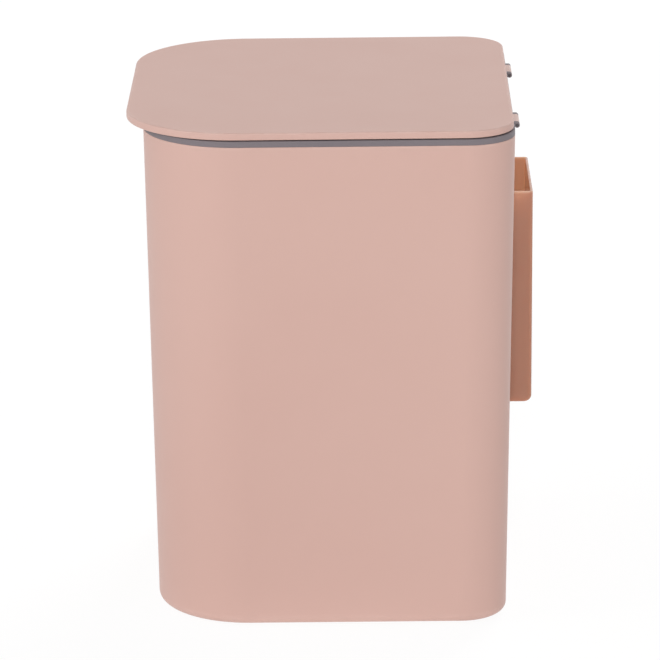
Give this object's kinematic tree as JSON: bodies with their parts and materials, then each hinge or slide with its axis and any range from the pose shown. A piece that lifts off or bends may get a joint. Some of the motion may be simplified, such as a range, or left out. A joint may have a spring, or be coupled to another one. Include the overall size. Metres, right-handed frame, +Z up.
{
  "type": "trash can",
  "caption": "Small kitchen trash can: tapered round-cornered tub, hinged lid with a front lip on a lift-off bag ring, and a slim hang-on pocket for spare bags behind.",
  "frame": {"origin": "centre of the overall box, on the surface that the foot pads stand on", "axes": "+Z up, -Y towards the front lip, +Y towards the hinges and the rear pocket, X along the hinges"},
  "size_m": [0.24, 0.2271, 0.2862],
  "materials": {
    "pink_plastic": "fine satin moulded",
    "grey_plastic": "satin moulded",
    "terracotta_plastic": "satin moulded",
    "pin_steel": "drawn wire",
    "soft_rubber": "matte"
  },
  "bodies": {
    "tub": {"body_shell": "pink_plastic", "foot_pad_front_left": "soft_rubber", "foot_pad_front_right": "soft_rubber", "foot_pad_rear_left": "soft_rubber", "foot_pad_rear_right": "soft_rubber"},
    "ring": {"bag_ring": "grey_plastic", "hinge_pin_left": "pin_steel", "hinge_pin_right": "pin_steel"},
    "lid": {"lid": "pink_plastic", "lid_bumper_left": "soft_rubber", "lid_bumper_right": "soft_rubber"},
    "pocket": {"bag_pocket": "terracotta_plastic"}
  },
  "joints": [
    {"name": "ring_lift", "type": "slide", "parent": "tub", "child": "ring", "axis": [0, 0, 1], "range_m": [0, 0.06]},
    {"name": "lid_hinge", "type": "hinge", "parent": "ring", "child": "lid", "pos_m": [0, 0.1034, 0.2781], "axis": [-1, 0, 0], "range_deg": [0, 100]},
    {"name": "pocket_lift", "type": "slide", "parent": "tub", "child": "pocket", "axis": [0, 0, 1], "range_m": [0, 0.012]}
  ]
}
